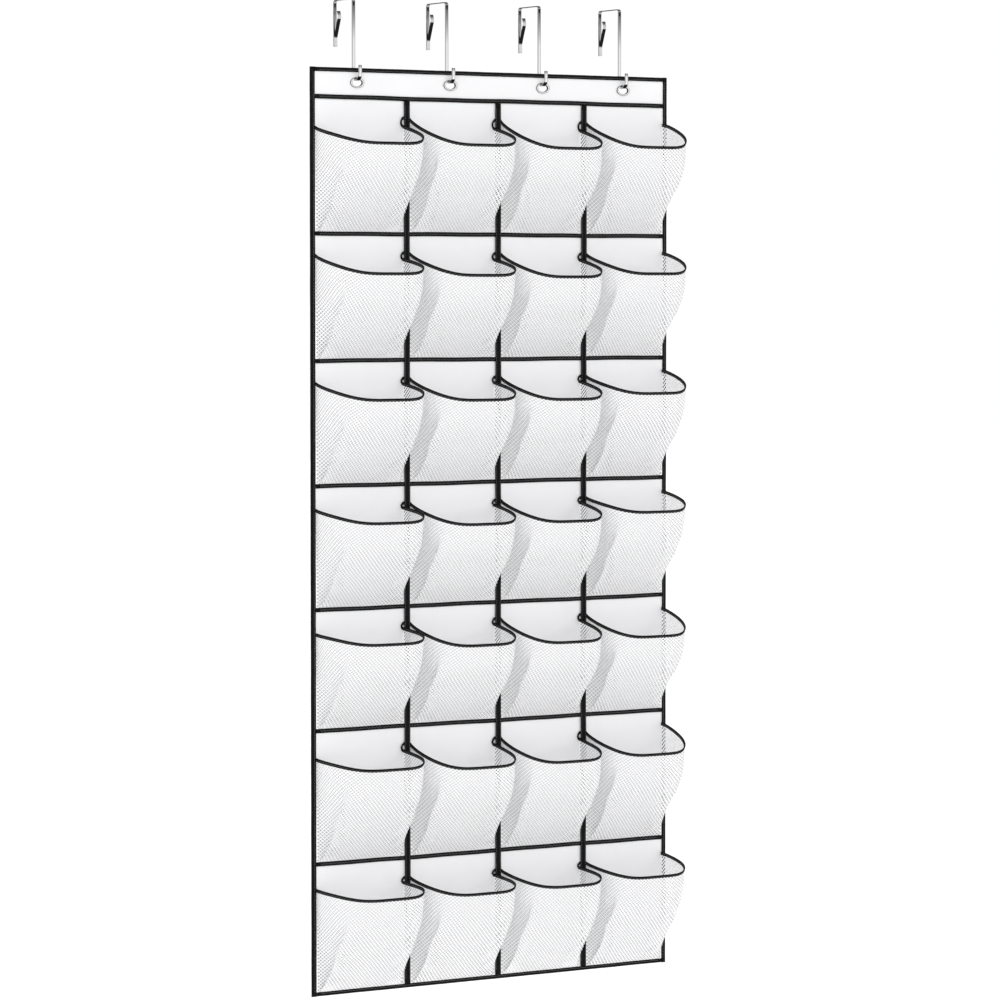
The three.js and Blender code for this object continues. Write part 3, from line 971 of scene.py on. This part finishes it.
def smooth_through(points, pitch):
    """A curve through the points, with a point every pitch along it."""
    points = np.array(points, float)
    padded = np.concatenate([[2 * points[0] - points[1]], points, [2 * points[-1] - points[-2]]])
    fine = []
    for k in range(1, len(padded) - 2):
        a, b, c, d = padded[k - 1 : k + 3]
        for t in np.linspace(0, 1, 8, endpoint=False):
            square, cube = 2 * a - 5 * b + 4 * c - d, 3 * b - a - 3 * c + d
            fine.append(0.5 * (2 * b + (c - a) * t + square * t**2 + cube * t**3))
    fine.append(points[-1])
    return needle_holes(fine, pitch)


mouth_seams = []
for row in range(7):
    knots = []
    for column in range(4):
        far, line = spaced(mouth_curve(row, column))
        count = round(far[-1] / KNOT_STEP)
        at = np.linspace(0, far[-1], count + 1)
        mouth = along_line(far, line, at)
        knots += [tuple(p) for p in mouth]
        if column < 3:
            knots += loop_points(row, column)
    path = smooth_through(knots, MOUTH_STEP)
    out = (seam_y - path[:, 1]) / mouth_depth
    # in front the tape leans out with the net; in the loops it stands out from the panel
    ahead = np.gradient(path, axis=0)
    ahead /= np.linalg.norm(ahead, axis=1, keepdims=True)
    steep = np.clip((np.abs(ahead[:, 2]) - 0.5) / 0.4, 0, 1)
    across = np.stack([np.zeros(len(path)), -TILT * np.clip(out, 0, 1) - 1.5 * steep, 1 - 0.6 * steep], -1)
    section = rounded_strip(MOUTH_TAPE_WIDE, MOUTH_TAPE_THICK, 4)
    in_loop = steep * (path[:, 1] > seam_y - LOOP_REACH)
    narrow = np.convolve(np.pad(1 - (1 - LOOP_WIDE) * in_loop, 1, "edge"), [0.25, 0.5, 0.25], "valid")
    mouth_tape = sweep(f"mouth_tape_{row + 1}", path, across, section, tape_finish, narrow)
    shell = mouth_tape.data
    spots = np.empty(len(shell.vertices) * 3)
    shell.vertices.foreach_get("co", spots)
    spots[1::3] = np.minimum(spots[1::3], seam_y + BEHIND_SEAM)  # pressed against the back cloth
    shell.vertices.foreach_set("co", spots)
    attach(mouth_tape, "panel")
    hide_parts(f"mouth_trim_{row + 1}")
    across = across - (across * ahead).sum(1, keepdims=True) * ahead
    across /= np.linalg.norm(across, axis=1, keepdims=True)
    outward = np.cross(ahead, across)
    for face in (-1, 1):
        lift = face * outward * (MOUTH_TAPE_THICK / 2 + THREAD_LIFT)
        mouth_seams.append(needle_holes(path + lift, STITCH_PITCH))
sew("mouth_thread", mouth_seams)

# ---- Hooks --------------------------------------------------------------------------------------
# Each hook is one bent strip of chromed spring steel, 6 mm wide: a short return in front, the bend
# that carries the eyelet, the leg, the bridge over the door, the rear leg and its folded tongue.
STRIP_THICK = 1.5 * MM
RETURN_RISE = 13 * MM  # of the return's tip above the centre of the eyelet bend
BRIDGE_BEND, TONGUE_BEND = 4.2 * MM, 1.1 * MM
TONGUE_FOLD_Z, TONGUE_LIFT_Z = -67 * MM, -54 * MM
STRIP_WIDE = 6 * MM
FLAT_MIDDLE = math.pi * STRIP_THICK / 4 + (STRIP_WIDE - STRIP_THICK) / 2
SECTION_MIDDLE = 0.75 * math.pi * STRIP_THICK + STRIP_WIDE - STRIP_THICK
TONGUE_TOP, TONGUE_TIP = (13.6 * MM, -24 * MM), (16.4 * MM, -15.5 * MM)

chrome, start = new_finish("bright chrome")
place = start.node("ShaderNodeTexCoord", output="Object")
height, depth = place.axis("Z"), place.axis("Y")
girth = start.node("ShaderNodeUVMap", {"uv_map": "length"}).axis("Y")
wiped = place.grain(120, 3.0)
# painted reflection: the dark room above the polished strip is painted into its colour at the bends and the
# bridge, and its edges are painted grey
painted_reflection_tones = (
    (-0.100, 0.85), (-0.060, 0.80), (-0.040, 0.50), (-0.022, 0.27), (-0.010, 0.13), (-0.0085, 0.015),
    (-0.0035, 0.01), (-0.0025, 0.5), (-0.0005, 0.3), (0.0005, 0.02),
)
tone = height.tones(painted_reflection_tones)
from_middle = ((girth - SECTION_MIDDLE).size() - FLAT_MIDDLE).size()
edges = from_middle.ramp(0.9 * MM, 2.3 * MM) * 0.75 * (1 - height.ramp(-0.005, -0.001))
tone = edges.blend(tone, grey(0.3))
# painted reflection on the tongue: pale at its tip and at its fold, a dark band between them
painted_pale_tongue = depth.ramp(0.004, 0.006) * (1 - depth.ramp(0.0246, 0.0252)) * (1 - height.ramp(-0.020, -0.018))
painted_dark_tongue = painted_pale_tongue * (1 - height.ramp(-0.0275, -0.0265)) * height.ramp(-0.056, -0.053)
tone = painted_pale_tongue.blend(tone, grey(0.6))
tone = painted_dark_tongue.blend(tone, grey(0.012))
# painted dark reflection on the front of the bend that carries the eyelet
eye_shade = (1 - height.ramp(-0.1165, -0.1145)) * (1 - depth.ramp(-0.0415, -0.0395))
tone = eye_shade.blend(tone, grey(0.01))
surface(
    start,
    Base_Color=tone,
    Metallic=1.0,
    Roughness=0.16 + wiped * 0.08,
    Normal=wiped.relief(0.04 * MM, 0.15),
)


def arc(centre, radius, first, last, bend_steps=12):
    """Points (y, z) of an arc, from angle first to last in degrees."""
    angles = np.radians(np.linspace(first, last, bend_steps + 1))
    return [(centre[0] + radius * math.cos(a), centre[1] + radius * math.sin(a)) for a in angles]


for i in range(4):
    low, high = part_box(f"hook_{i + 1}")
    leg = high.y - STRIP_THICK / 2
    eye_bend = abs(leg + panel_y)
    bend_z = low.z + STRIP_THICK / 2 + eye_bend
    bridge_z = high.z - STRIP_THICK / 2
    line = [(panel_y - eye_bend, bend_z + RETURN_RISE)]
    line += [(panel_y - eye_bend, bend_z + RETURN_RISE / 2)]
    line += arc((panel_y, bend_z), eye_bend, 180, 360, 20)
    line += [(-leg, bend_z * 0.6)]
    line += arc((-leg + BRIDGE_BEND, bridge_z - BRIDGE_BEND), BRIDGE_BEND, 180, 90)
    line += [(0, bridge_z)]
    line += arc((leg - BRIDGE_BEND, bridge_z - BRIDGE_BEND), BRIDGE_BEND, 90, 0)
    line += arc((leg - TONGUE_BEND, TONGUE_FOLD_Z), TONGUE_BEND, 0, -180)
    line += [(leg - 2 * TONGUE_BEND, TONGUE_LIFT_Z), TONGUE_TOP, TONGUE_TIP]
    x = (low.x + high.x) / 2
    path = [(x, y, z) for y, z in line]
    section = rounded_strip(high.x - low.x, STRIP_THICK, 6)
    hook = sweep(f"strip_hook_{i + 1}", path, [(1, 0, 0)] * len(path), section, chrome)
    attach(hook, f"hook_{i + 1}")
    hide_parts(f"hook_{i + 1}")

# ---- Size of the finished model ------------------------------------------------------------------
low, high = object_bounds()
